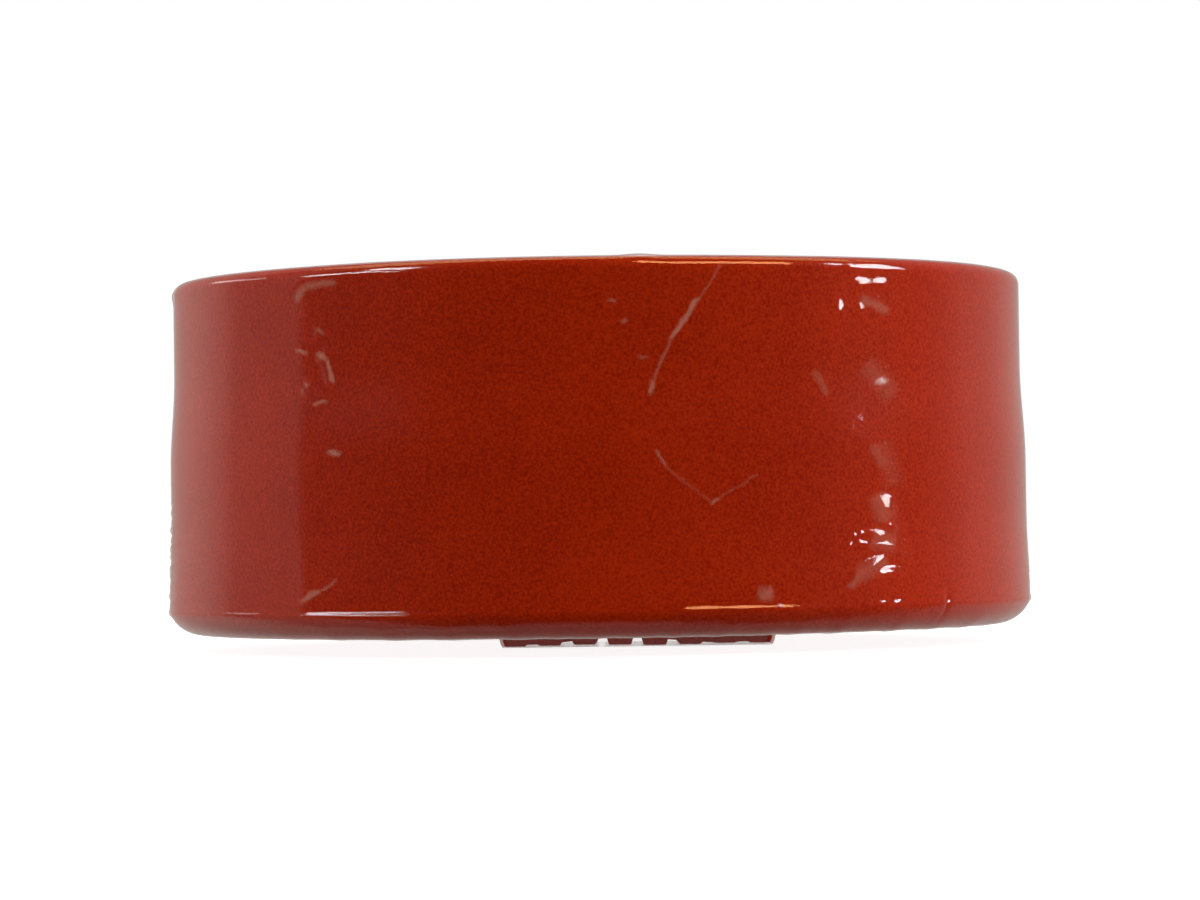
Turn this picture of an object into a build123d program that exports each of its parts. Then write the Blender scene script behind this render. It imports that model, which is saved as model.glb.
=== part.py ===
"""Round bar of detailing clay, shrink-wrapped in clear film, as it is sold.

Two pieces: the moulded clay puck, with a raised mark of plain pads under it, and the film round it.
The frame has +Z up along the puck's axis, and its origin on the surface that the bar stands on.
All sizes are in millimetres.
"""

import os
from math import cos, radians, sin, tan

from build123d import *

# Clay puck: a disc whose wall leans in towards the top.
clay_height = 30.7  # the disc alone, without the mark
foot_radius = 38.1  # at the underside, before the lower edge is rounded
wall_draft = 1.7  # degrees
foot_round = 2.9
rim_round = 0.9

# Raised mark: rows of plain pads, moulded on the underside.
mark_height = 1.5
mark_shift = 3.2  # along X, from the puck's axis to the middle of the mark
pads_in_row = 8
rows = 3
pad_width = 2.4  # along the row
pad_length = 4.2
pad_gap = 0.65  # between two pads of a row
row_gap = 1.4
pad_corner = 0.7
pad_round = 0.35
pad_draft = 6.0  # degrees

# Clear film: it lies on the clay, and spans the mark as one shallow pocket.
film_thickness = 0.1
pocket_clearance = 0.4  # from the outermost pads to the pocket's sides
pocket_lean = 50.0  # degrees that the pocket's sides lean out from upright
pocket_corner = 1.2

# What follows from those sizes.
underside_z = film_thickness + mark_height
top_z = underside_z + clay_height
mark_width = pads_in_row * pad_width + (pads_in_row - 1) * pad_gap
mark_length = rows * pad_length + (rows - 1) * row_gap


def disc(grow=0.0):
    """The puck without its mark: a section turned about Z, its whole surface moved out by grow."""
    lean = radians(wall_draft)
    low = underside_z - grow
    high = top_z + grow
    foot = foot_radius + grow / cos(lean) + grow * tan(lean)
    rim = foot - (high - low) * tan(lean)
    corners = [(0, low), (foot, low), (rim, high), (0, high)]
    outline = FilletPolyline(*corners, radius=[foot_round + grow, rim_round + grow])
    section = make_face(Plane.XZ * (outline + Line((0, high), (0, low))))
    return revolve(section, Axis.Z)


def pad():
    """One pad of the mark on the puck's axis, from the underside down to the film."""
    outline = Pos(0, 0, underside_z) * RectangleRounded(pad_width, pad_length, pad_corner)
    block = extrude(outline, amount=mark_height, dir=(0, 0, -1), taper=pad_draft)
    lowest_face = block.faces().sort_by(Axis.Z)[0]
    return fillet(lowest_face.edges(), pad_round)


def clay_puck():
    """The disc with the pads of the mark in rows along X, as one moulding."""
    places = GridLocations(pad_width + pad_gap, pad_length + row_gap, pads_in_row, rows)
    one_pad = pad()
    return disc() + [Pos(mark_shift, 0, 0) * place * one_pad for place in places]


def pocket(grow=0.0):
    """The space that the film leaves for the mark, its floor and sides moved out by grow."""
    lean = radians(pocket_lean)
    mouth_z = underside_z - grow
    depth = mouth_z - (film_thickness - grow)
    margin = pocket_clearance + grow * (1 - sin(lean)) / cos(lean) + depth * tan(lean)
    width = mark_width + 2 * margin
    length = mark_length + 2 * margin
    mouth = Pos(mark_shift, 0, mouth_z) * RectangleRounded(width, length, pocket_corner + margin)
    return extrude(mouth, amount=depth, dir=(0, 0, -1), taper=pocket_lean)


def clear_film():
    """The film: a closed skin of one thickness all round the clay."""
    outside = disc(film_thickness) + pocket(film_thickness)
    return outside - disc() - pocket()


os.makedirs("parts", exist_ok=True)
export_step(clay_puck(), "parts/clay_puck.step")
export_step(clear_film(), "parts/clear_film.step")
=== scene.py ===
"""Round bar of red detailing clay, shrink-wrapped in clear film, on a pale table.

Lengths are in millimetres and angles in degrees until a mesh is written, which is in metres.
Round the bar, an angle of 0 faces -Y and 90 faces +X.
"""

from math import cos, degrees, radians, sin

import bpy
import numpy as np
from mathutils import Euler, Matrix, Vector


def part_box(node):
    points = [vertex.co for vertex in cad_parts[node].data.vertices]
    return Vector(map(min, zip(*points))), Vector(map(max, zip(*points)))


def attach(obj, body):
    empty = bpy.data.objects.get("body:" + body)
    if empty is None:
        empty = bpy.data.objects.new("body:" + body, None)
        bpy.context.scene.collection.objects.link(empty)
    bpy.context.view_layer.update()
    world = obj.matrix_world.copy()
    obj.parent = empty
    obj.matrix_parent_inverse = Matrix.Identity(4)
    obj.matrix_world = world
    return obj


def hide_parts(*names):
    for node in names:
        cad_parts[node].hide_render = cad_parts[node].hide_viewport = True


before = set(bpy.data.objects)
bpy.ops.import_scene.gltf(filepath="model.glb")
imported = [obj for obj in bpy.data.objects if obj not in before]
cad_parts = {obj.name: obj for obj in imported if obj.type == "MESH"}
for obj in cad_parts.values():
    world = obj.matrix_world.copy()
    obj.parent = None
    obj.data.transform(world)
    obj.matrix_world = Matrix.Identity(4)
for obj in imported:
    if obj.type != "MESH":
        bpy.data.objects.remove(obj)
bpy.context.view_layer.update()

MM = 0.001

# ---------------------------------------------------------------- sizes taken from the frame
CLAY_LOW, CLAY_HIGH = (np.array(corner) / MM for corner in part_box("clay_puck"))
FILM_GAP = CLAY_LOW[2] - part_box("clear_film")[0][2] / MM  # between the clay and the film's outer face
MARK_HEIGHT = 1.5
UNDERSIDE = CLAY_LOW[2] + MARK_HEIGHT
RELIEF_ROOM = 0.13  # kept free inside the CAD box for the bead, the folds and the dents
FOOT_RADIUS = CLAY_HIGH[0] - RELIEF_ROOM  # the widest part of the clay's wall

# ---------------------------------------------------------------- the clay's own sizes
MIDDLE_SLUMP = 0.38  # how much wider the wall is below mid-height than at the top
FOOT_SLUMP = 0.22  # and how much wider again at the foot
TOP_RADIUS = FOOT_RADIUS - MIDDLE_SLUMP - FOOT_SLUMP
FOOT_ROUND = 3.1
FOOT_TURN = 70.0  # the foot's round stops short of upright, so the wall meets it in a crisp line
FOOT_LINE = UNDERSIDE + FOOT_ROUND * (1 - cos(radians(FOOT_TURN)))
RIM_ROUND = 0.9
RIM_DROP = 0.2  # how far the hand-worn rim stays below the moulded height
TOP_DISH = 0.35  # how far the middle of the top lies below its rim

# The raised mark: rows of plain pads, shifted towards +X.
MARK_SHIFT = 3.2
PADS_IN_ROW = 8
ROWS = 3
PAD = np.array([2.4, 4.2])  # along and across the row
PAD_PITCH = np.array([3.05, 5.6])
PAD_CORNER = 0.7
PAD_EDGE = 0.22  # width of a pad's sloping edge
PAD_SAG = 0.10  # the most that a pad is lower than the others
WEB = 0.72  # how deep the pressed clay joins the pads of a row, as a share of MARK_HEIGHT
WEB_SWING = 0.25  # how much WEB varies along a row, as a share of itself
MARK = np.array([PADS_IN_ROW - 1, ROWS - 1]) * PAD_PITCH + PAD

# ---------------------------------------------------------------- meshes
PATCH = np.array([32.0, 23.0])  # the square-meshed middle of the underside
PATCH_CELLS = (180, 60)
CORNER_EASE = 5.0  # the rings round the patch start from its border, and later from a circle this much wider
LINES = 2 * sum(PATCH_CELLS)  # upright lines round the wall
# Where the lines stand closer, for the film's small folds: angle, half width, and how much closer.
FINE_ZONES = (
    (-38.0, 5.0, 2.6), (37.5, 5.0, 3.2), (21.5, 3.0, 2.2), (-85.0, 8.0, 1.2), (5.5, 2.0, 1.0),
    (49.3, 1.0, 1.6),
)
# Where the wall's rings stand closer, for the low folds: height, half width, and how much closer.
LOW_FOLDS = (8.5, 2.4, 1.9)


def smooth(t):
    """0 below 0 and 1 above 1, with 3t^2 - 2t^3 between."""
    t = np.clip(t, 0.0, 1.0)
    return t * t * (3.0 - 2.0 * t)


def bell(t):
    """exp(-t^2 / 2)."""
    return np.exp(-0.5 * t * t)


def half_turn(angle):
    """The same direction as an angle from -180 up to 180."""
    return (angle + 180.0) % 360.0 - 180.0


def line_angles():
    """Angles of the upright lines, from the patch's first corner on.

    They are equal steps of an integral that rises a little faster in front than behind, and much faster
    in the FINE_ZONES.
    """
    start = 90.0 + degrees(np.arctan2(-PATCH[1] / 2, MARK_SHIFT - PATCH[0] / 2))
    fine = start + np.linspace(0.0, 360.0, 7201)
    turn = half_turn(fine)
    weight = 0.75 + 0.25 * np.cos(np.radians(turn))
    weight = weight + sum(more * bell((turn - at) / wide) for at, wide, more in FINE_ZONES)
    total = np.concatenate([[0.0], np.cumsum(weight[1:])])
    return np.interp(np.arange(LINES) * total[-1] / LINES, total, fine)


ANGLES = line_angles()


def round_about(radius, angle, height):
    """Points at a distance from the Z axis, at an angle and a height."""
    turn = np.radians(angle)
    return np.stack([radius * np.sin(turn), -radius * np.cos(turn), height + 0 * turn], axis=-1)


def rect_distance(x, y, half, corner):
    """Distance outside a rectangle of half sizes half with rounded corners; negative inside."""
    dx = np.abs(x) - half[0] + corner
    dy = np.abs(y) - half[1] + corner
    outside = np.hypot(np.maximum(dx, 0), np.maximum(dy, 0))
    return outside + np.minimum(np.maximum(dx, dy), 0) - corner


def pads(x, y):
    """Depth of the clay's pads at x, y: each falls off over PAD_EDGE inside its rounded outline.

    A pad sags by up to PAD_SAG times a squared sine of its column and row. Between the pads of a row the
    depth is a web of WEB times MARK_HEIGHT, which swings with a sine along the row.
    """
    along = (x - MARK_SHIFT) / PAD_PITCH[0] + (PADS_IN_ROW - 1) / 2
    across = y / PAD_PITCH[1] + (ROWS - 1) / 2
    column = np.clip(np.round(along), 0, PADS_IN_ROW - 1)
    row = np.clip(np.round(across), 0, ROWS - 1)
    off_row = (across - row) * PAD_PITCH[1]
    edge = rect_distance((along - column) * PAD_PITCH[0], off_row, PAD / 2, PAD_CORNER)
    sag = PAD_SAG * np.sin(2.4 * column + 1.7 * row) ** 2
    strip = rect_distance(x - MARK_SHIFT, off_row, np.array([MARK[0], PAD[1]]) / 2, PAD_CORNER)
    web = MARK_HEIGHT * WEB * (1.0 + WEB_SWING * np.sin(1.1 * along + 1.3)) * smooth(-strip / PAD_EDGE)
    return np.maximum((MARK_HEIGHT - sag) * smooth(-edge / PAD_EDGE), web)


def pocket(x, y):
    """Depth of the film's tent: flat over the mark, with a slope that eases out beyond its edge."""
    inset, slope_width = 0.1, 0.5
    edge = rect_distance(x - MARK_SHIFT, y, MARK / 2 - inset, PAD_CORNER)
    return (UNDERSIDE - FILM_GAP) * (1.0 - smooth(edge / slope_width))


def wall_radius(height):
    """The slumped wall: TOP_RADIUS, and wider by MIDDLE_SLUMP below 16 mm and by FOOT_SLUMP below 4 mm."""
    middle = smooth((24.0 - height) / 8.0)
    foot = smooth((11.0 - height) / 7.0)
    return TOP_RADIUS + MIDDLE_SLUMP * middle + FOOT_SLUMP * foot


def waves(angle, height, rng, count, around, along):
    """A sum of count plane waves over the wall, divided by the root of count, so mostly between -1 and 1.

    Each has a random phase, up to around waves per turn, and up to along radians per millimetre of height.
    """
    per_turn = rng.integers(-around, around + 1, count)
    per_height = rng.uniform(-along, along, count)
    phase = rng.uniform(0, 2 * np.pi, count)
    turn = np.radians(angle)
    each = zip(per_turn, per_height, phase)
    field = sum(np.cos(turns * turn + rate * height + start) for turns, rate, start in each)
    return field / np.sqrt(count)


def wall_heights(low, high, rows):
    """Heights of the wall's rings from low to high, closer by the foot's line, the low folds and the rim."""
    fine = np.linspace(low, high, 2001)
    zones = ((low, 0.5, 4.0), LOW_FOLDS, (high, 1.5, 1.2))
    weight = 0.85 + sum(more * bell((fine - at) / wide) for at, wide, more in zones)
    total = np.cumsum(weight) - weight[0]
    return np.interp(np.arange(1, rows + 1) * total[-1] / (rows + 1), total, fine)


def droop(angle, height):
    """How far the foot's line hangs lower on the left of the front, eased out at both ends."""
    turn = half_turn(angle)
    on_left = smooth((-turn - 8.0) / 20.0) * smooth((turn + 150.0) / 40.0)
    return 0.22 * on_left * bell((height - FOOT_LINE) / 1.3)


def profile(out, wall_rows, top_rows):
    """Radius, height and outward slope of each ring, from the foot's inner edge up to near the axis.

    out moves the whole surface out from the clay. The foot is an arc of FOOT_TURN, the rim a quarter circle,
    and the top falls by TOP_DISH from its rim to about a third of the way in.
    """
    low = UNDERSIDE - out
    high = CLAY_HIGH[2] + out - RIM_DROP
    foot_r = FOOT_ROUND + out
    rim_r = RIM_ROUND + out
    turn = np.radians(np.linspace(0, FOOT_TURN, 13))
    line = low + foot_r * (1 - np.cos(turn[-1]))
    foot_centre = wall_radius(line) + out - foot_r * np.sin(turn[-1])
    foot = np.stack([foot_centre + foot_r * np.sin(turn), low + foot_r * (1 - np.cos(turn))])
    heights = wall_heights(line, high - rim_r, wall_rows)
    wall = np.stack([wall_radius(heights) + out, heights])
    rim_turn = np.radians(np.linspace(0, 90, 10))
    rim_centre = wall_radius(high - rim_r) + out - rim_r
    rim = np.stack([rim_centre + rim_r * np.cos(rim_turn), high - rim_r + rim_r * np.sin(rim_turn)])
    inward = (1 - np.linspace(0, 1, top_rows + 1) ** 1.5)[1:-1]
    top = np.stack([rim_centre * inward, high - TOP_DISH * smooth((1 - inward) / 0.35)])
    radius, height = np.concatenate([foot, wall, rim, top], axis=1)
    slope_r = np.gradient(radius)
    slope_z = np.gradient(height)
    length = np.hypot(slope_r, slope_z)
    return radius, height, slope_z / length, -slope_r / length


def patch_reach(angle):
    """Distance from the Z axis to the border of the underside's square-meshed middle, at an angle."""
    turn = np.radians(angle)
    across = np.where(np.abs(np.sin(turn)) < 1e-9, 1e-9, np.sin(turn))
    back = np.where(np.abs(np.cos(turn)) < 1e-9, 1e-9, -np.cos(turn))
    side = MARK_SHIFT + np.sign(across) * PATCH[0] / 2
    return np.minimum(side / across, np.sign(back) * PATCH[1] / 2 / back)


def skin(out, depth, relief, wall_rows, top_rows, under_rows=12):
    """Vertices and faces of a closed skin round the puck.

    The underside's middle is a square grid, lowered by depth(x, y). Rings of LINES points lead from its
    border to the foot, up the wall, over the rim and in to the axis, moved out by relief(angle, r, z).
    Under the puck, a ring's angles pass smoothly from the border points' own to ANGLES, its inner end from
    the border's rectangle to a circle, and its distance goes in equal steps from that end to the foot.
    """
    low = UNDERSIDE - out
    nx, ny = PATCH_CELLS
    x = MARK_SHIFT + np.linspace(-0.5, 0.5, nx + 1) * PATCH[0]
    y = np.linspace(-0.5, 0.5, ny + 1) * PATCH[1]
    x, y = np.meshgrid(x, y)
    patch = np.stack([x, y, low - depth(x, y)], axis=-1).reshape(-1, 3)
    grid = np.arange(len(patch)).reshape(ny + 1, nx + 1)
    border = np.concatenate([grid[0, :-1], grid[:-1, -1], grid[-1, :0:-1], grid[:0:-1, 0]])

    radius, height, out_r, out_z = profile(out, wall_rows, top_rows)
    shift = relief(ANGLES[None, :], radius[:, None], height[:, None])
    level = height[:, None] + shift * out_z[:, None] - droop(ANGLES[None, :], height[:, None])
    rings = round_about(radius[:, None] + shift * out_r[:, None], ANGLES[None, :], level)
    share = np.linspace(0, 1, under_rows + 2)[1:-1, None]
    border_angle = 90.0 + np.degrees(np.arctan2(patch[border, 1], patch[border, 0]))
    border_angle = ANGLES[0] + (border_angle - ANGLES[0] + 1e-6) % 360.0
    angle = border_angle + smooth(share) ** 2 * (ANGLES - border_angle)
    inner = patch_reach(angle)
    inner = inner + smooth(1.6 * share) * (PATCH[0] / 2 + CORNER_EASE - inner)
    under = round_about(inner + share * (np.hypot(*rings[0, :, :2].T) - inner), angle, 0.0)
    under[..., 2] = low - depth(under[..., 0], under[..., 1]) + smooth(share) * (rings[0, :, 2] - low)
    rings = np.concatenate([under, rings])
    top = np.array([[0.0, 0.0, rings[-1, :, 2].mean()]])
    points = np.concatenate([patch, rings.reshape(-1, 3), top])

    loops = np.concatenate([border[None], len(patch) + np.arange(rings.shape[0] * LINES).reshape(-1, LINES)])
    following = np.roll(loops, -1, axis=1)
    sides = np.stack([loops[:-1], following[:-1], following[1:], loops[1:]], axis=-1).reshape(-1, 4)
    middle = np.stack([grid[:-1, :-1], grid[1:, :-1], grid[1:, 1:], grid[:-1, 1:]], axis=-1).reshape(-1, 4)
    cap = np.stack([loops[-1], following[-1], np.full(LINES, len(points) - 1)], axis=-1)
    return points, [*middle.tolist(), *sides.tolist(), *cap.tolist()]


def piece(name, points, faces, material, cad_node):
    """A smooth mesh piece that rides on the row's one body and stands for a CAD node."""
    mesh = bpy.data.meshes.new(name)
    mesh.from_pydata((points * MM).tolist(), [], faces)
    mesh.shade_smooth()
    mesh.materials.append(material)
    made = bpy.data.objects.new(name, mesh)
    bpy.context.scene.collection.objects.link(made)
    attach(made, "root")
    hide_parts(cad_node)
    return made


# ---------------------------------------------------------------- materials
def linear(hex_colour):
    """An sRGB hex colour as linear red, green, blue and an alpha of 1."""
    value = np.array([int(hex_colour[i:i + 2], 16) for i in (1, 3, 5)]) / 255
    value = np.where(value <= 0.04045, value / 12.92, ((value + 0.055) / 1.055) ** 2.4)
    return (*value.tolist(), 1.0)


def node(tree, kind, settings=None, **links):
    """Adds a node, sets its properties and plain inputs from settings, and links its inputs.

    A link is given by its input's name, or as i0, i1 and so on by its number.
    """
    made = tree.nodes.new(kind)
    for key, value in (settings or {}).items():
        if isinstance(key, int) or key in made.inputs:
            made.inputs[key].default_value = value
        else:
            setattr(made, key, value)
    for key, source in links.items():
        target = made.inputs[int(key[1:])] if key[0] == "i" and key[1:].isdigit() else made.inputs[key]
        tree.links.new(source, target)
    return made


def new_material(name):
    """An empty node material, its tree and its output node."""
    made = bpy.data.materials.new(name)
    made.use_nodes = True
    made.node_tree.nodes.clear()
    out = made.node_tree.nodes.new("ShaderNodeOutputMaterial")
    return made, made.node_tree, out


# Patterns, as how many of each stand in a millimetre.
CLAY_CLOUDS = 0.09  # clouds of pigment 11 mm apart, as kneading leaves them
CLAY_GRAINS = 4.2  # the abrasive is about 0.01 mm, too fine to show, so it is drawn at 0.24 mm
FILM_RIPPLES = 0.26  # slack ripples of the shrunk film, 4 mm apart
STREAK_BREAKS = 0.9  # a streak wavers and breaks up about once in a millimetre
STREAK_WAVER = 0.3  # how far a streak wavers to each side, in millimetres


def moulded_clay():
    """Polymer detailing clay, pressed in a smooth mould: a waxy satin lump with a fine abrasive in it.

    To the eye it is an even deep red with a fine, darker grain. It has almost no gloss of its own, because
    the film wets it and mirrors in its place.
    """
    made, tree, out = new_material("moulded_red_detailing_clay")
    place = node(tree, "ShaderNodeTexCoord").outputs["Object"]
    cloud = node(tree, "ShaderNodeTexNoise", {"Scale": CLAY_CLOUDS / MM, "Detail": 3.0}, Vector=place)
    grain = node(tree, "ShaderNodeTexNoise", {"Scale": CLAY_GRAINS / MM, "Detail": 2.0}, Vector=place)
    patch = node(tree, "ShaderNodeMath", {"operation": "MULTIPLY", 1: 0.4}, i0=cloud.outputs["Fac"])
    mix = {"operation": "MULTIPLY_ADD", 1: 1.2}
    tone = node(tree, "ShaderNodeMath", mix, i0=grain.outputs["Fac"], i2=patch.outputs[0])
    ramp = node(tree, "ShaderNodeValToRGB", None, Fac=tone.outputs[0])
    ramp.color_ramp.elements[0].position = 0.55
    ramp.color_ramp.elements[0].color = linear("#9a1c03")
    ramp.color_ramp.elements[1].position = 1.0
    ramp.color_ramp.elements[1].color = linear("#c02e07")
    bumpy = {"Strength": 0.25, "Distance": 0.06 * MM}
    bump = node(tree, "ShaderNodeBump", bumpy, Height=grain.outputs["Fac"])
    satin = {"Roughness": 0.5, "IOR": 1.5, "Specular IOR Level": 0.01}
    body = node(tree, "ShaderNodeBsdfPrincipled", satin)
    tree.links.new(ramp.outputs["Color"], body.inputs["Base Color"])
    tree.links.new(bump.outputs["Normal"], body.inputs["Normal"])
    tree.links.new(body.outputs[0], out.inputs["Surface"])
    return made


# Pale streaks on the front of the film: from x, z to x, z, half width, and strength. Most are scuffs and
# creases in the film. The ones marked below are painted light: painted reflection and painted sheen.
SCUFFS_AND_PAINTED_SHEEN = (
    (10.1, 31.4, 8.0, 28.2, 0.22, 0.12), (8.2, 28.6, 5.9, 25.4, 0.34, 0.34),
    (5.9, 25.4, 4.4, 21.8, 0.26, 0.16), (4.4, 22.0, 4.2, 20.9, 0.30, 0.30),
    (4.7, 16.5, 5.4, 15.2, 0.26, 0.20), (5.4, 15.2, 9.1, 12.2, 0.22, 0.08),
    (9.0, 12.2, 9.7, 12.6, 0.26, 0.22), (9.8, 12.7, 12.8, 14.5, 0.22, 0.08),
    (-24.4, 4.7, -22.8, 5.6, 0.40, 0.30), (-22.8, 5.6, -21.4, 6.4, 0.24, 0.18),
    (1.0, 28.6, 1.5, 28.4, 0.34, 0.20), (2.0, 26.7, 2.5, 26.9, 0.34, 0.20),
    (3.4, 24.0, 4.0, 23.9, 0.34, 0.14), (-22.7, 24.9, -22.0, 24.4, 0.40, 0.34),
    (-22.0, 24.4, -21.5, 22.5, 0.34, 0.36), (-24.6, 25.3, -23.7, 24.9, 0.28, 0.30),
    (-23.9, 22.4, -23.7, 22.3, 0.34, 0.34), (-24.3, 22.0, -24.2, 21.6, 0.3, 0.2),
    # painted reflection: a pale arch where the room's mirror image bends over the rim at the top left
    (-24.6, 29.4, -23.8, 30.5, 0.60, 0.26), (-23.8, 30.5, -21.2, 30.6, 0.55, 0.22),
    # painted reflection on a small fold low at the front, then, down to the next comment, painted sheen:
    # wide pale streaks for the haze of mirrored lamp light round the glints on the right
    (12.7, 4.9, 13.9, 4.9, 0.90, 0.22), (22.0, 23.5, 24.2, 20.8, 1.50, 0.09),
    (22.4, 16.8, 23.4, 15.0, 0.80, 0.11), (23.2, 17.0, 24.2, 13.5, 1.50, 0.06),
    (22.8, 12.8, 23.4, 10.6, 1.40, 0.15), (22.2, 9.2, 24.2, 8.8, 1.50, 0.13),
    (21.0, 6.2, 23.4, 7.4, 1.20, 0.13), (20.2, 5.2, 21.2, 6.4, 0.60, 0.15),
    (21.6, 28.9, 23.9, 27.7, 0.60, 0.18), (17.6, 22.8, 18.6, 20.8, 0.50, 0.12),
    # scuffs and creases
    (-23.2, 20.9, -22.1, 20.9, 0.30, 0.26), (-21.9, 16.9, -21.0, 16.6, 0.34, 0.36),
    (-22.8, 26.9, -22.3, 26.5, 0.34, 0.22),
)


def scuff_and_sheen_lines(tree, place):
    """One value, 0 off the streaks and up to each one's strength along its line, on the front of the bar:
    scuffs and creases, and painted sheen and painted reflection.

    For a line from A along the unit vector D, the way along it is (P - A) . D and the way off it is
    (P - A) x D, which is two dot products of P, in the X-Z plane, with an added constant each. P is the
    place moved about by fine noise, so that the lines waver and break up. The value falls off smoothly
    from the line to half_width, and over end_fade to each side of its two ends.
    """
    end_fade = 0.3 * MM
    stir = node(tree, "ShaderNodeTexNoise", {"Scale": STREAK_BREAKS / MM, "Detail": 2.0}, Vector=place)
    waver = {"operation": "MULTIPLY_ADD", 1: (2 * STREAK_WAVER * MM,) * 3, 2: (-STREAK_WAVER * MM,) * 3}
    shake = node(tree, "ShaderNodeVectorMath", waver, i0=stir.outputs["Color"])
    still = node(tree, "ShaderNodeSeparateXYZ", None, Vector=place)
    plus = {"operation": "ADD"}
    shaken = node(tree, "ShaderNodeVectorMath", plus, i0=place, i1=shake.outputs[0]).outputs[0]
    fade = {"interpolation_type": "SMOOTHSTEP"}
    times = {"operation": "MULTIPLY"}
    most = {"operation": "MAXIMUM"}
    total = None
    for x0, z0, x1, z1, half_width, strength in SCUFFS_AND_PAINTED_SHEEN:
        start = np.array([x0, z0]) * MM
        way = np.array([x1 - x0, z1 - z0]) * MM
        length = float(np.hypot(*way))
        way = way / length
        half = length / 2
        middle = float(start @ way) + half
        beside = float(start[1] * way[0] - start[0] * way[1])
        dot_along = {"operation": "DOT_PRODUCT", 1: (way[0], 0, way[1])}
        dot_off = {"operation": "DOT_PRODUCT", 1: (-way[1], 0, way[0])}
        along = node(tree, "ShaderNodeVectorMath", dot_along, i0=shaken).outputs["Value"]
        off = node(tree, "ShaderNodeVectorMath", dot_off, i0=shaken).outputs["Value"]
        from_middle = node(tree, "ShaderNodeMath", {"operation": "SUBTRACT", 1: middle}, i0=along)
        aside = node(tree, "ShaderNodeMath", {"operation": "SUBTRACT", 1: beside}, i0=off)
        ends = node(tree, "ShaderNodeMath", {"operation": "ABSOLUTE"}, i0=from_middle.outputs[0])
        side = node(tree, "ShaderNodeMath", {"operation": "ABSOLUTE"}, i0=aside.outputs[0])
        end_range = fade | {"From Min": half + end_fade, "From Max": half - end_fade}
        side_range = fade | {"From Min": half_width * MM, "From Max": 0.0, "To Max": strength}
        within = node(tree, "ShaderNodeMapRange", end_range, Value=ends.outputs[0])
        near = node(tree, "ShaderNodeMapRange", side_range, Value=side.outputs[0])
        mark = node(tree, "ShaderNodeMath", times, i0=within.outputs[0], i1=near.outputs[0])
        if total is None:
            total = mark
        else:
            total = node(tree, "ShaderNodeMath", most, i0=total.outputs[0], i1=mark.outputs[0])
    front = node(tree, "ShaderNodeMath", {"operation": "LESS_THAN", 1: 0.0}, i0=still.outputs["Y"])
    return node(tree, "ShaderNodeMath", times, i0=total.outputs[0], i1=front.outputs[0]).outputs[0]


def clear_film():
    """Clear polyolefin film, shrunk tight over the clay.

    To the eye it is a wet gloss over the clay: sharp glints with a faint haze round them, a mirror of the
    room that grows towards the two sides, and pale streaks in a matt colour: scuffs and creases, and painted
    sheen and painted reflection. Seen at a slant s, which goes from 0 facing the eye to 1 edge on, it
    mirrors
    0.04 + 0.96 s^5 of the light, as a plastic does, and lets the rest through.
    """
    made, tree, out = new_material("clear_shrunk_polyolefin_film")
    place = node(tree, "ShaderNodeTexCoord").outputs["Object"]
    ripple = node(tree, "ShaderNodeTexNoise", {"Scale": FILM_RIPPLES / MM, "Detail": 2.0}, Vector=place)
    bumpy = {"Strength": 0.2, "Distance": 0.05 * MM}
    normal = node(tree, "ShaderNodeBump", bumpy, Height=ripple.outputs["Fac"]).outputs["Normal"]
    facing = node(tree, "ShaderNodeLayerWeight", {"Blend": 0.5})
    slant = node(tree, "ShaderNodeMath", {"operation": "POWER", 1: 5.0}, i0=facing.outputs["Facing"])
    plastic = {"operation": "MULTIPLY_ADD", 1: 0.96, 2: 0.04}
    mirror = node(tree, "ShaderNodeMath", plastic, i0=slant.outputs[0])
    clear = node(tree, "ShaderNodeBsdfTransparent", {"Color": linear("#fdfdfd")})
    glossy = {"distribution": "BECKMANN"}
    sharp = node(tree, "ShaderNodeBsdfGlossy", glossy | {"Roughness": 0.12}, Normal=normal)
    hazy = node(tree, "ShaderNodeBsdfGlossy", glossy | {"Roughness": 0.26}, Normal=normal)
    gloss = node(tree, "ShaderNodeMixShader", {0: 0.035}, i1=sharp.outputs[0], i2=hazy.outputs[0]).outputs[0]
    both = node(tree, "ShaderNodeMixShader", None, i0=mirror.outputs[0], i1=clear.outputs[0], i2=gloss)
    # a pale matt colour along the streaks: scuffs and creases, and painted sheen and painted reflection in
    # the marked wide ones
    pale_scuff_and_sheen = node(tree, "ShaderNodeBsdfDiffuse", {"Color": linear("#eeb094")})
    scuff_and_sheen_mask = scuff_and_sheen_lines(tree, place)
    whole = node(tree, "ShaderNodeMixShader", None, i0=scuff_and_sheen_mask, i1=both.outputs[0], i2=pale_scuff_and_sheen.outputs[0])
    tree.links.new(whole.outputs[0], out.inputs["Surface"])
    return made


def pale_table():
    """Pale matt laminate with a light box under it: an even white on which a shadow is only just seen."""
    made, tree, out = new_material("pale_matt_laminate")
    body = node(tree, "ShaderNodeBsdfPrincipled", {"Base Color": linear("#a8a7a6"), "Roughness": 0.6})
    glow = node(tree, "ShaderNodeEmission", {"Strength": 0.90})
    both = node(tree, "ShaderNodeAddShader", None, i0=body.outputs[0], i1=glow.outputs[0])
    tree.links.new(both.outputs[0], out.inputs["Surface"])
    return made


# ---------------------------------------------------------------- the two pieces
def clay_relief(angle, radius, height):
    """Gentle hand-press dents in the clay: long waves, 0.045 mm deep, that fade out towards the axis."""
    rng = np.random.default_rng(4)
    return 0.045 * waves(angle, height, rng, 9, 5, 0.16) * smooth(radius / 20.0)


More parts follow.
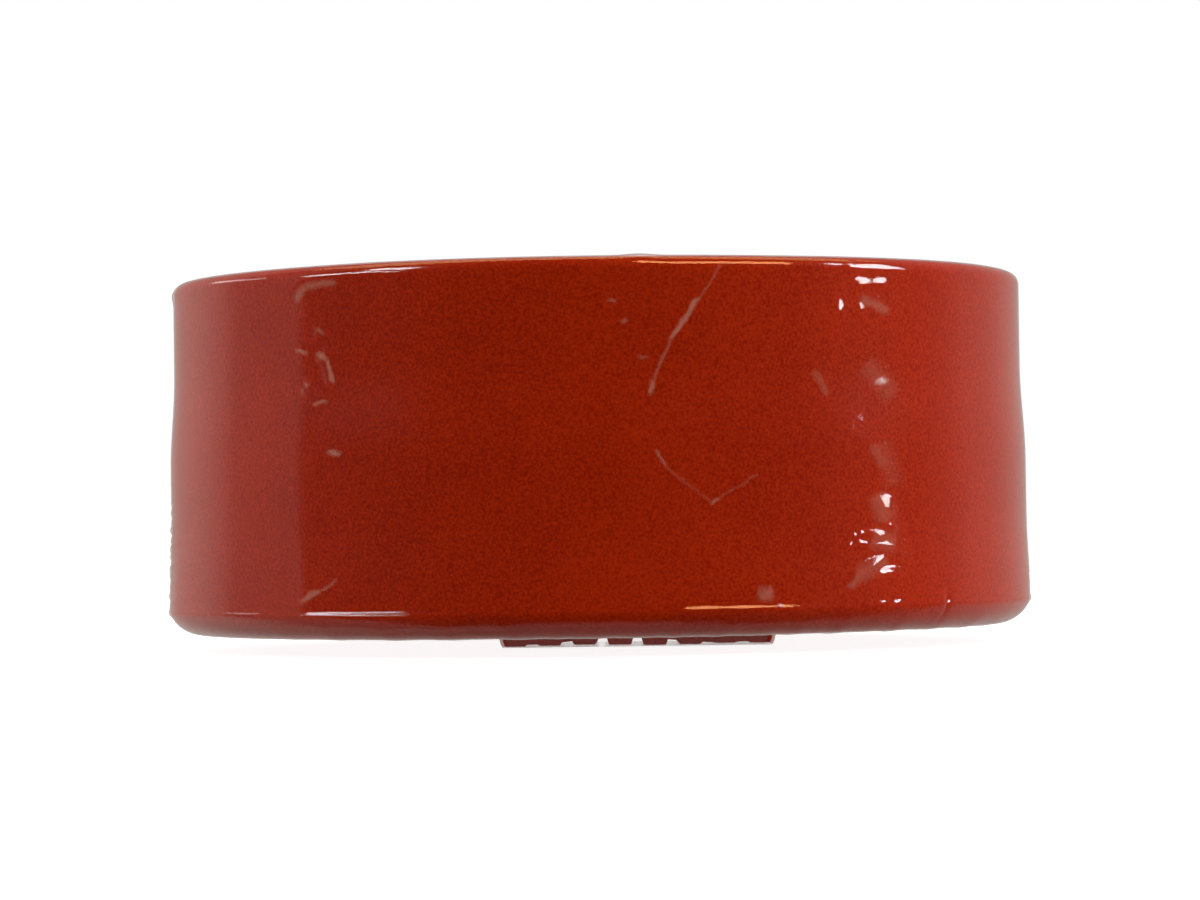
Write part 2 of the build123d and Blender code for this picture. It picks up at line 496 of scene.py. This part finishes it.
def gathers(angle, radius, height):
    """Radial gathers of the shrunk film, on the top inside the rim and round the foot.

    They are three sets of sharp-topped waves, 1 - 2 |sin|^0.8, of 41, 67 and 113 per turn. Each leans a
    little on its way in, and each set comes and goes round the bar.
    """
    rng = np.random.default_rng(11)
    turn = np.radians(angle)
    lean = 0.35 * np.sin(3 * turn + 1.0) + 0.2 * np.sin(7 * turn)
    inside_rim = smooth((TOP_RADIUS - 1.0 - radius) / 3.0) * smooth((radius - 9.0) / 16.0)
    on_top = smooth((height - UNDERSIDE - 15.0) / 10.0) * inside_rim
    below = smooth((FOOT_LINE - 0.3 - height) / 1.4)
    leaning = turn + 0.012 * lean * (TOP_RADIUS - radius)
    shift = 0.0
    for count, size in ((41, 0.050), (67, 0.036), (113, 0.020)):
        phase = rng.uniform(0, 2 * np.pi)
        ridge = 1.0 - 2.0 * np.abs(np.sin(0.5 * count * leaning + phase)) ** 0.8
        patchy = 0.5 + 0.5 * np.sin(rng.integers(2, 6) * turn + rng.uniform(0, 6))
        shift = shift + size * ridge * patchy
    return shift * (on_top + 0.7 * below)


def pucker(angle, height):
    """A band of fine sideways puckers low on the left side, and a small lip of film under the rim there.

    The puckers are short random waves, flattened where they would cut more than 0.05 mm into the wall.
    """
    rng = np.random.default_rng(7)
    band = bell((angle + 86.0) / 9.0) * smooth((15.0 - height) / 4.0) * smooth((height - 2.6) / 1.0)
    lip = 0.13 * bell((height - 31.1) / 0.35) * bell((angle + 85.0) / 8.0)
    return np.maximum(0.065 * band * (waves(angle, height, rng, 12, 30, 8.0) - 0.4), -0.05) + lip


# Small folds and blisters of the film: angle, height, half length, half width, turn from level, rise.
BLISTERS = (
    (35.3, 29.9, 0.6, 0.28, 0, 0.09), (38.6, 29.95, 0.6, 0.28, 0, 0.09),
    (38.0, 28.6, 1.5, 0.45, -28, 0.07), (31.7, 27.5, 0.45, 0.60, 0, 0.17),
    (35.3, 27.6, 0.4, 0.55, 25, 0.11), (38.5, 21.5, 0.8, 0.5, 0, 0.052), (29.0, 22.4, 0.4, 1.0, 30, 0.05),
    (34.6, 18.6, 0.3, 0.3, 0, 0.022), (34.4, 17.2, 0.9, 0.6, -20, 0.05), (37.6, 15.3, 0.5, 0.9, 0, 0.12),
    (38.4, 11.4, 0.8, 0.80, 0, 0.28), (37.2, 9.4, 0.7, 0.30, 0, 0.20),
    (39.0, 10.05, 0.6, 0.30, -10, 0.20), (38.1, 8.6, 1.5, 0.30, 0, 0.19),
    (40.0, 7.85, 0.9, 0.24, -10, 0.15), (36.2, 7.1, 1.2, 0.30, 25, 0.17),
    (39.0, 6.4, 0.9, 0.27, -5, 0.15), (37.3, 6.0, 0.6, 0.36, 0, 0.15), (33.8, 5.6, 1.0, 0.40, 40, 0.12),
    (32.4, 8.6, 0.24, 0.24, 0, 0.08), (34.0, 8.8, 0.24, 0.24, 0, 0.08), (33.2, 9.3, 0.22, 0.22, 0, 0.06),
    (34.3, 9.5, 0.22, 0.22, 0, 0.06), (37.4, 3.85, 0.3, 0.20, 0, 0.06), (39.9, 3.85, 0.5, 0.22, 0, 0.08),
    (33.7, 31.4, 0.4, 0.35, 0, 0.09), (-40.4, 24.9, 0.6, 0.25, -15, 0.05),
    (-36.7, 24.6, 0.5, 0.35, 20, 0.07), (-35.9, 23.1, 0.3, 1.0, 20, 0.07),
    (-37.4, 26.6, 0.35, 0.35, 0, 0.05), (-39.1, 22.2, 0.3, 0.3, 0, 0.03),
    (-37.8, 21.0, 0.5, 0.3, 0, 0.02), (-35.0, 16.6, 0.7, 0.25, -20, 0.04),
    (-42.3, 6.9, 0.7, 1.6, 10, -0.05), (-44.0, 30.2, 2.2, 0.5, 10, 0.07),
    (-30.5, 31.5, 1.4, 0.40, 0, 0.05), (12.0, 31.5, 3.0, 0.40, 0, 0.04), (21.0, 4.5, 0.9, 0.60, 0, 0.07),
    (22.7, 4.3, 0.18, 0.6, 0, -0.09), (5.5, 32.1, 1.0, 0.7, 0, 0.12), (49.2, 3.7, 0.2, 0.7, 0, -0.10),
)

# Where the bead is fuller or flatter: angle, half width, and by what share.
BEAD_CHANGES = ((-54.0, 6.0, 0.5), (38.0, 6.0, -0.8), (15.4, 0.6, -0.6), (2.0, 6.0, -0.7))


def foot_bead(turn, height):
    """The bead of film along the foot's line: a bell over the height, 0.075 mm high.

    It swells and thins nine times round the bar, changes by BEAD_CHANGES, and is 0.8 fuller between the
    angles 9 and 29.
    """
    bead = 0.075 * bell((height - FOOT_LINE - 0.05) / 0.19) * (1.0 + 0.15 * np.sin(np.radians(turn) * 9))
    share = 1.0 + sum(more * bell((turn - at) / wide) for at, wide, more in BEAD_CHANGES)
    return bead * (share + 0.8 * smooth((turn - 9.0) / 3.0) * smooth((29.0 - turn) / 3.0))


def film_relief(angle, radius, height):
    """The film lies on the clay's dents, with a bead along the foot's line, gathers, puckers and blisters.

    A blister is its rise times a bell along its length times a bell across it, in the plane of the wall.
    """
    turn = half_turn(angle)
    shift = clay_relief(angle, radius, height) + foot_bead(turn, height)
    shift = shift + gathers(angle, radius, height) + pucker(turn, height)
    on_wall = smooth((radius - 30.0) / 5.0)
    for at, up, long, wide, lean, rise in BLISTERS:
        across = np.radians(half_turn(turn - at)) * FOOT_RADIUS
        above = height - up
        lean_cos, lean_sin = cos(radians(lean)), sin(radians(lean))
        along = (lean_cos * across + lean_sin * above) / long
        aside = (lean_cos * above - lean_sin * across) / wide
        shift = shift + on_wall * rise * bell(along) * bell(aside)
    return shift


points, faces = skin(0.0, pads, clay_relief, 60, 14)
clay = piece("clay_puck_moulded", points, faces, moulded_clay(), "clay_puck")
points, faces = skin(FILM_GAP, pocket, film_relief, 134, 20, 6)
film = piece("clear_film_shrunk", points, faces, clear_film(), "clear_film")


# ---------------------------------------------------------------- table, light and camera
def table_top():
    """A flat table top that only takes the bar's shadow: surroundings() gives the light it would send up."""
    far, near, side = 0.45, -0.45, 0.6
    mesh = bpy.data.meshes.new("table_top")
    corners = [(-side, near, 0), (side, near, 0), (side, far, 0), (-side, far, 0)]
    mesh.from_pydata(corners, [], [(0, 1, 2, 3)])
    mesh.materials.append(pale_table())
    made = bpy.data.objects.new("table_top", mesh)
    made.visible_diffuse = False
    made.visible_glossy = False
    made.visible_shadow = False
    bpy.context.scene.collection.objects.link(made)


def panel(name, angle, lift, size, power, colour="#ffffff", gloss=False):
    """A light panel 1 m away, at an angle round the bar and lifted above the table, facing the bar.

    A gloss panel shows only in the film, as a window or a lamp does. The others light only what is matt:
    the clay, the scuffs and the table.
    """
    light = bpy.data.lights.new(name, "AREA")
    light.shape = "RECTANGLE"
    light.size, light.size_y = size
    light.energy = power
    light.color = linear(colour)[:3]
    made = bpy.data.objects.new(name, light)
    rise, turn = radians(lift), radians(angle)
    place = (cos(rise) * sin(turn), -cos(rise) * cos(turn), sin(rise))
    facing = Euler((radians(90 - lift), 0, turn)).to_matrix().to_4x4()
    made.matrix_world = Matrix.Translation(place) @ facing
    made.visible_camera = False
    made.visible_diffuse = not gloss
    made.visible_glossy = gloss
    bpy.context.scene.collection.objects.link(made)


# What the film mirrors: the brightness of the room, by its angle round the bar.
ROOM = (
    (-180, 0.52), (-152, 0.52), (-141, 0.66), (-127, 0.84), (-119, 0.78), (-111, 0.50), (-98, 0.54),
    (-86, 0.60), (-84, 0.14), (-65, 0.06), (-39, 0.02), (0, 0.0), (26, 0.02), (54, 0.04), (68, 0.08),
    (92, 0.09), (103, 0.24), (115, 0.52), (140, 0.56), (180, 0.52),
)
ROOM_TINT = np.array([1.15, 0.96, 0.88])  # warm walls


def surroundings():
    """The room round the bar: white to the camera, ROOM to the film, and a soft sky to the clay.

    To the film, the room is a tenth brighter below the table's level and an even grey straight below.
    """
    world = bpy.data.worlds.new("light_tent")
    bpy.context.scene.world = world
    world.use_nodes = True
    tree = world.node_tree
    tree.nodes.clear()
    way = node(tree, "ShaderNodeTexCoord").outputs["Generated"]
    parts = node(tree, "ShaderNodeSeparateXYZ", None, Vector=way)
    front = node(tree, "ShaderNodeMath", {"operation": "MULTIPLY", 1: -1.0}, i0=parts.outputs["Y"])
    turn = node(tree, "ShaderNodeMath", {"operation": "ARCTAN2"}, i0=parts.outputs["X"], i1=front.outputs[0])
    share = node(tree, "ShaderNodeMapRange", {"From Min": -np.pi, "From Max": np.pi}, Value=turn.outputs[0])
    ramp = node(tree, "ShaderNodeValToRGB", None, Fac=share.outputs[0])
    for angle, light in ROOM[1:-1]:
        ramp.color_ramp.elements.new((angle + 180) / 360).color = (*(light * ROOM_TINT).tolist(), 1)
    for end in (0, -1):
        ramp.color_ramp.elements[end].color = (*(ROOM[end][1] * ROOM_TINT).tolist(), 1)
    rise = parts.outputs["Z"]
    below = {"From Min": -0.03, "From Max": -0.35, "To Min": 1.0, "To Max": 1.1}
    sunk = node(tree, "ShaderNodeMapRange", below, Value=rise)
    scale = {"operation": "SCALE"}
    floor = node(tree, "ShaderNodeVectorMath", scale, i0=ramp.outputs["Color"], Scale=sunk.outputs[0])
    straight_down = {"interpolation_type": "SMOOTHSTEP", "From Min": -0.92, "From Max": -1.0}
    under = node(tree, "ShaderNodeMapRange", straight_down, Value=rise)
    grey = {"data_type": "RGBA", 7: (0.60, 0.58, 0.58, 1)}
    mirrored = node(tree, "ShaderNodeMix", grey, i0=under.outputs[0], i6=floor.outputs[0]).outputs[2]
    level = {"interpolation_type": "SMOOTHSTEP", "From Min": -0.3, "From Max": 0.3}
    height = node(tree, "ShaderNodeMapRange", level, Value=rise)
    sky = {"data_type": "RGBA", 6: (0.21, 0.21, 0.21, 1), 7: (0.88, 0.88, 0.88, 1)}
    soft = node(tree, "ShaderNodeMix", sky, i0=height.outputs[0]).outputs[2]
    ray = node(tree, "ShaderNodeLightPath").outputs
    lit = node(tree, "ShaderNodeMix", {"data_type": "RGBA"}, i0=ray["Is Diffuse Ray"], i6=mirrored, i7=soft)
    white = {"data_type": "RGBA", 7: (1, 1, 1, 1)}
    seen = node(tree, "ShaderNodeMix", white, i0=ray["Is Camera Ray"], i6=lit.outputs[2])
    glow = node(tree, "ShaderNodeBackground", {"Strength": 1.0}, Color=seen.outputs[2])
    node(tree, "ShaderNodeOutputWorld", None, Surface=glow.outputs[0])


def camera():
    """Level with the lower part of the wall, 37 cm away, looking a little up and held a little askew."""
    aside, distance, eye_height = 0.17, 368.0, 10.7
    focal, sensor_width = 124.35, 36.0
    look_up, roll = 1.0186, 0.8
    data = bpy.data.cameras.new("camera")
    data.sensor_width = sensor_width
    data.lens = focal
    made = bpy.data.objects.new("camera", data)
    turn = Euler((radians(90 + look_up), 0, 0)).to_matrix() @ Euler((0, 0, radians(-roll))).to_matrix()
    made.matrix_world = Matrix.Translation((aside * MM, -distance * MM, eye_height * MM)) @ turn.to_4x4()
    data.clip_start = 0.01
    bpy.context.scene.collection.objects.link(made)
    bpy.context.scene.camera = made


table_top()
surroundings()
panel("right_side", 90, 6, (0.5, 0.5), 4.8)
panel("right_back", 122, 20, (0.5, 0.5), 1.6)
panel("left_back", -120, 6, (0.5, 0.5), 4.4)
panel("window_gloss", 78.5, 24, (0.33, 0.44), 10.6, gloss=True)
panel("left_gloss", -68, 16, (0.50, 0.10), 3.2, gloss=True)
panel("left_high_gloss", -60, 35, (0.20, 0.26), 3.4, gloss=True)
panel("side_gloss", -114, 18, (0.45, 0.12), 0.7, gloss=True)
panel("warm_gloss", 33, 38, (0.72, 0.36), 13.5, "#ffae70", gloss=True)
panel("ceiling_gloss", 180, 81, (1.6, 0.5), 8.8, "#ffde90", gloss=True)
camera()
bpy.context.scene.view_settings.view_transform = "Standard"
